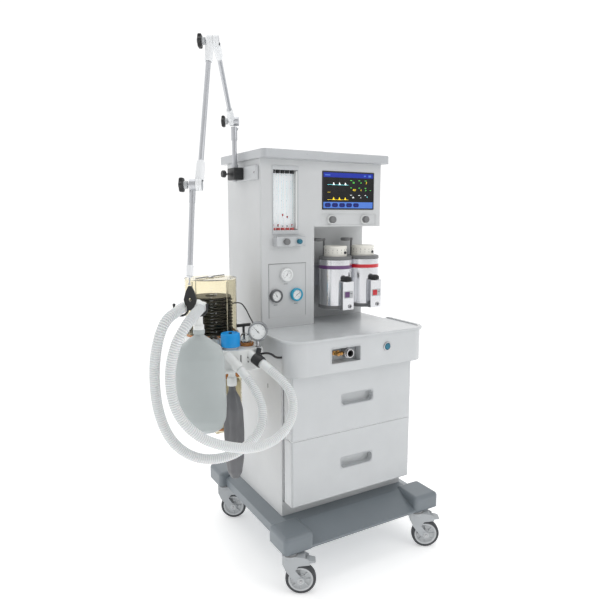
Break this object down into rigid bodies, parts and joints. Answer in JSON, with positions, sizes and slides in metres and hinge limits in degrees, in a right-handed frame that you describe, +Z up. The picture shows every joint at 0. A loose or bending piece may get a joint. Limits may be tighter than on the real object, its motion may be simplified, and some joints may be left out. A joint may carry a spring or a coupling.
{
  "type": "anesthesia machine",
  "caption": "Wheeled anesthesia cart with drawers, worktop, gauge and screen column, vaporizers, side absorber with bellows and a jointed arm that holds the breathing hoses and bag.",
  "frame": {"origin": "on the floor, under the middle of the whole machine without its hoses and lines", "axes": "+X to the machine's right seen from the front, +Y to its back, +Z up"},
  "size_m": [1.0465, 0.7717, 1.6847],
  "materials": {
    "grey_paint": "satin",
    "white_moulding": "gloss",
    "slate_plastic": "satin",
    "light_plastic": "satin",
    "tyre": "matte",
    "dark_plastic": "satin",
    "screen": "gloss",
    "clear_tube": "gloss",
    "amber_clear": "gloss",
    "gauge_plastic": "gloss",
    "teal_plastic": "gloss",
    "blue_plastic": "gloss",
    "cream_plastic": "gloss",
    "brass": "satin",
    "steel": "satin",
    "alloy": "satin",
    "black_rubber": "matte",
    "grey_rubber": "matte",
    "hose_plastic": "satin"
  },
  "bodies": {
    "machine": {"base_chassis": "slate_plastic", "cabinet_shell": "grey_paint", "worktop": "white_moulding", "outlet_fittings": "brass", "column_shell": "grey_paint", "top_shelf": "white_moulding", "rear_cover": "grey_paint", "display_screen": "screen", "flowmeter_housing": "light_plastic", "flowmeter_tubes": "clear_tube", "gauge_cases": "gauge_plastic", "vaporizer_manifold": "alloy", "vaporizer_bodies": "grey_paint", "absorber_block": "white_moulding", "valve_domes": "clear_tube", "canister": "amber_clear", "bellows_dome": "amber_clear", "bellows": "black_rubber", "airway_gauge": "gauge_plastic", "reservoir_bag": "black_rubber", "gas_lines": "black_rubber", "hose_inspiratory": "hose_plastic", "hose_expiratory": "hose_plastic", "arm_clamp": "light_plastic"},
    "drawer_upper": {"drawer_upper": "white_moulding"},
    "drawer_lower": {"drawer_lower": "white_moulding"},
    "caster_fork_front_left": {"caster_fork_front_left": "light_plastic"},
    "caster_wheel_front_left": {"caster_wheel_front_left": "tyre"},
    "brake_pedal_front_left": {"brake_pedal_front_left": "light_plastic"},
    "caster_fork_front_right": {"caster_fork_front_right": "light_plastic"},
    "caster_wheel_front_right": {"caster_wheel_front_right": "tyre"},
    "brake_pedal_front_right": {"brake_pedal_front_right": "light_plastic"},
    "caster_fork_back_left": {"caster_fork_back_left": "light_plastic"},
    "caster_wheel_back_left": {"caster_wheel_back_left": "tyre"},
    "caster_fork_back_right": {"caster_fork_back_right": "light_plastic"},
    "caster_wheel_back_right": {"caster_wheel_back_right": "tyre"},
    "display_knob_left": {"display_knob_left": "teal_plastic"},
    "display_knob_right": {"display_knob_right": "teal_plastic"},
    "flow_knob_air": {"flow_knob_air": "light_plastic"},
    "flow_knob_oxygen": {"flow_knob_oxygen": "teal_plastic"},
    "vaporizer_dial_left": {"vaporizer_dial_left": "cream_plastic"},
    "filler_screw_left": {"filler_screw_left": "dark_plastic"},
    "lock_lever_left": {"lock_lever_left": "steel"},
    "vaporizer_dial_right": {"vaporizer_dial_right": "cream_plastic"},
    "filler_screw_right": {"filler_screw_right": "dark_plastic"},
    "lock_lever_right": {"lock_lever_right": "steel"},
    "flush_button": {"flush_button": "teal_plastic"},
    "relief_cap": {"relief_cap": "blue_plastic"},
    "bellows_disc": {"bellows_disc": "dark_plastic"},
    "selector_lever": {"selector_lever": "dark_plastic"},
    "arm_post": {"arm_post": "alloy"},
    "arm_inner_link": {"arm_inner_link": "alloy"},
    "arm_outer_link": {"arm_outer_link": "alloy"},
    "arm_drop_tube": {"arm_drop_tube": "alloy"},
    "hose_holder": {"hose_holder": "dark_plastic", "breathing_y_piece": "hose_plastic", "test_bag": "grey_rubber"},
    "arm_knob_shoulder": {"arm_knob_shoulder": "dark_plastic"},
    "arm_knob_elbow": {"arm_knob_elbow": "dark_plastic"},
    "arm_knob_wrist": {"arm_knob_wrist": "dark_plastic"}
  },
  "joints": [
    {"name": "drawer_upper_slide", "type": "slide", "parent": "machine", "child": "drawer_upper", "axis": [0, -1, 0], "range_m": [0, 0.34]},
    {"name": "drawer_lower_slide", "type": "slide", "parent": "machine", "child": "drawer_lower", "axis": [0, -1, 0], "range_m": [0, 0.34]},
    {"name": "swivel_front_left", "type": "hinge", "parent": "machine", "child": "caster_fork_front_left", "pos_m": [-0.127, -0.285, 0.138], "axis": [0, 0, 1], "continuous": true},
    {"name": "roll_front_left", "type": "hinge", "parent": "caster_fork_front_left", "child": "caster_wheel_front_left", "pos_m": [-0.09756, -0.302, 0.049], "axis": [0.5, 0.866, 0], "continuous": true},
    {"name": "brake_front_left", "type": "hinge", "parent": "caster_fork_front_left", "child": "brake_pedal_front_left", "pos_m": [-0.0785, -0.313, 0.111], "axis": [0.5, 0.866, 0], "range_deg": [0, 16]},
    {"name": "swivel_front_right", "type": "hinge", "parent": "machine", "child": "caster_fork_front_right", "pos_m": [0.393, -0.285, 0.138], "axis": [0, 0, 1], "continuous": true},
    {"name": "roll_front_right", "type": "hinge", "parent": "caster_fork_front_right", "child": "caster_wheel_front_right", "pos_m": [0.42245, -0.302, 0.049], "axis": [0.5, 0.866, 0], "continuous": true},
    {"name": "brake_front_right", "type": "hinge", "parent": "caster_fork_front_right", "child": "brake_pedal_front_right", "pos_m": [0.4415, -0.313, 0.111], "axis": [0.5, 0.866, 0], "range_deg": [0, 16]},
    {"name": "swivel_back_left", "type": "hinge", "parent": "machine", "child": "caster_fork_back_left", "pos_m": [-0.127, 0.246, 0.138], "axis": [0, 0, 1], "continuous": true},
    {"name": "roll_back_left", "type": "hinge", "parent": "caster_fork_back_left", "child": "caster_wheel_back_left", "pos_m": [-0.09756, 0.229, 0.049], "axis": [0.5, 0.866, 0], "continuous": true},
    {"name": "swivel_back_right", "type": "hinge", "parent": "machine", "child": "caster_fork_back_right", "pos_m": [0.393, 0.246, 0.138], "axis": [0, 0, 1], "continuous": true},
    {"name": "roll_back_right", "type": "hinge", "parent": "caster_fork_back_right", "child": "caster_wheel_back_right", "pos_m": [0.42245, 0.229, 0.049], "axis": [0.5, 0.866, 0], "continuous": true},
    {"name": "display_turn_left", "type": "hinge", "parent": "machine", "child": "display_knob_left", "pos_m": [0.191, -0.027, 1.171], "axis": [0, -1, 0], "continuous": true},
    {"name": "display_turn_right", "type": "hinge", "parent": "machine", "child": "display_knob_right", "pos_m": [0.336, -0.027, 1.171], "axis": [0, -1, 0], "continuous": true},
    {"name": "flow_air", "type": "hinge", "parent": "machine", "child": "flow_knob_air", "pos_m": [-0.006, -0.053, 1.098], "axis": [0, -1, 0], "range_deg": [0, 350]},
    {"name": "flow_oxygen", "type": "hinge", "parent": "machine", "child": "flow_knob_oxygen", "pos_m": [0.043, -0.053, 1.098], "axis": [0, -1, 0], "range_deg": [0, 350]},
    {"name": "dial_left", "type": "hinge", "parent": "machine", "child": "vaporizer_dial_left", "pos_m": [0.23, 0.011, 1.048], "axis": [0, 0, 1], "range_deg": [0, 250]},
    {"name": "filler_left", "type": "hinge", "parent": "machine", "child": "filler_screw_left", "pos_m": [0.232, -0.064, 0.952], "axis": [0, 0, 1], "range_deg": [0, 350]},
    {"name": "lock_left", "type": "hinge", "parent": "machine", "child": "lock_lever_left", "pos_m": [0.208, 0.055, 1.06], "axis": [0, 0, 1], "range_deg": [0, 90]},
    {"name": "dial_right", "type": "hinge", "parent": "machine", "child": "vaporizer_dial_right", "pos_m": [0.353, 0.011, 1.048], "axis": [0, 0, 1], "range_deg": [0, 250]},
    {"name": "filler_right", "type": "hinge", "parent": "machine", "child": "filler_screw_right", "pos_m": [0.355, -0.064, 0.952], "axis": [0, 0, 1], "range_deg": [0, 350]},
    {"name": "lock_right", "type": "hinge", "parent": "machine", "child": "lock_lever_right", "pos_m": [0.331, 0.055, 1.06], "axis": [0, 0, 1], "range_deg": [0, 90]},
    {"name": "flush_push", "type": "slide", "parent": "machine", "child": "flush_button", "axis": [0, 1, 0], "range_m": [0, 0.0035], "stiffness_N_per_m": 350},
    {"name": "relief_turn", "type": "hinge", "parent": "machine", "child": "relief_cap", "pos_m": [-0.25, -0.129, 0.79], "axis": [0, 0, 1], "range_deg": [-270, 0]},
    {"name": "bellows_fall", "type": "slide", "parent": "machine", "child": "bellows_disc", "axis": [0, 0, -1], "range_m": [0, 0.085], "deforming": ["bellows"]},
    {"name": "selector_turn", "type": "hinge", "parent": "machine", "child": "selector_lever", "pos_m": [-0.178, -0.069, 0.79], "axis": [0, 0, 1], "range_deg": [0, 90]},
    {"name": "arm_swing", "type": "hinge", "parent": "machine", "child": "arm_post", "pos_m": [-0.118, 0.118, 1.36], "axis": [0, 0, 1], "range_deg": [-90, 20], "deforming": ["hose_inspiratory", "hose_expiratory"]},
    {"name": "arm_shoulder", "type": "hinge", "parent": "arm_post", "child": "arm_inner_link", "pos_m": [-0.118, 0.118, 1.503], "axis": [-0.866, 0.5, 0], "range_deg": [-3, 45], "deforming": ["hose_inspiratory", "hose_expiratory"]},
    {"name": "arm_elbow", "type": "hinge", "parent": "arm_inner_link", "child": "arm_outer_link", "pos_m": [-0.2885, -0.17732, 1.665], "axis": [-0.866, 0.5, 0], "range_deg": [-2, 60], "deforming": ["hose_inspiratory", "hose_expiratory"]},
    {"name": "arm_wrist", "type": "hinge", "parent": "arm_outer_link", "child": "arm_drop_tube", "pos_m": [-0.376, -0.32887, 1.264], "axis": [-0.866, 0.5, 0], "range_deg": [-5, 40], "deforming": ["hose_inspiratory", "hose_expiratory"]},
    {"name": "holder_swivel", "type": "hinge", "parent": "arm_drop_tube", "child": "hose_holder", "pos_m": [-0.43756, -0.30949, 1.029], "axis": [0.0738, 0.026, 0.9969], "range_deg": [-60, 60], "deforming": ["hose_inspiratory", "hose_expiratory"]},
    {"name": "knob_shoulder", "type": "hinge", "parent": "arm_post", "child": "arm_knob_shoulder", "pos_m": [-0.13965, 0.1305, 1.503], "axis": [-0.866, 0.5, 0], "range_deg": [0, 350]},
    {"name": "knob_elbow", "type": "hinge", "parent": "arm_inner_link", "child": "arm_knob_elbow", "pos_m": [-0.32314, -0.15732, 1.665], "axis": [-0.866, 0.5, 0], "range_deg": [0, 350]},
    {"name": "knob_wrist", "type": "hinge", "parent": "arm_outer_link", "child": "arm_knob_wrist", "pos_m": [-0.43316, -0.29587, 1.264], "axis": [-0.866, 0.5, 0], "range_deg": [0, 350]}
  ]
}
